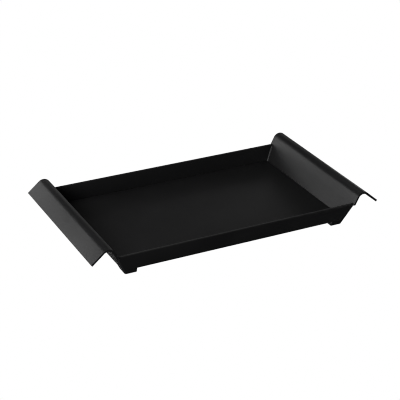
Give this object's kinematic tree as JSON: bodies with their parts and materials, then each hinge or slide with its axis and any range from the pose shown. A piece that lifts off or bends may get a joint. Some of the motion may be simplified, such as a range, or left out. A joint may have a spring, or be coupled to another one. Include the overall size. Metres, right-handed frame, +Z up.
{
  "type": "serving tray",
  "caption": "Shallow matte black serving tray with a flat floor, flared walls, a rolled carrying handle along each end and small corner feet.",
  "frame": {"origin": "on the surface the tray stands on, under the tray's centre", "axes": "+X along the tray's length to the right handle, +Y to the back wall, +Z up"},
  "size_m": [0.45, 0.244, 0.05],
  "materials": {
    "tray_black": "matte black powder coat on aluminium sheet",
    "foot_black": "matte black moulded plastic",
    "pad_rubber": "soft black rubber",
    "zinc_steel": "zinc plated"
  },
  "bodies": {
    "root": {"floor_panel": "tray_black", "front_wall": "tray_black", "back_wall": "tray_black", "left_handle_panel": "tray_black", "right_handle_panel": "tray_black", "foot_front_left": "foot_black", "foot_pad_front_left": "pad_rubber", "foot_screw_front_left": "zinc_steel", "foot_boss_front_left": "tray_black", "foot_front_right": "foot_black", "foot_pad_front_right": "pad_rubber", "foot_screw_front_right": "zinc_steel", "foot_boss_front_right": "tray_black", "foot_back_left": "foot_black", "foot_pad_back_left": "pad_rubber", "foot_screw_back_left": "zinc_steel", "foot_boss_back_left": "tray_black", "foot_back_right": "foot_black", "foot_pad_back_right": "pad_rubber", "foot_screw_back_right": "zinc_steel", "foot_boss_back_right": "tray_black"}
  },
  "joints": []
}
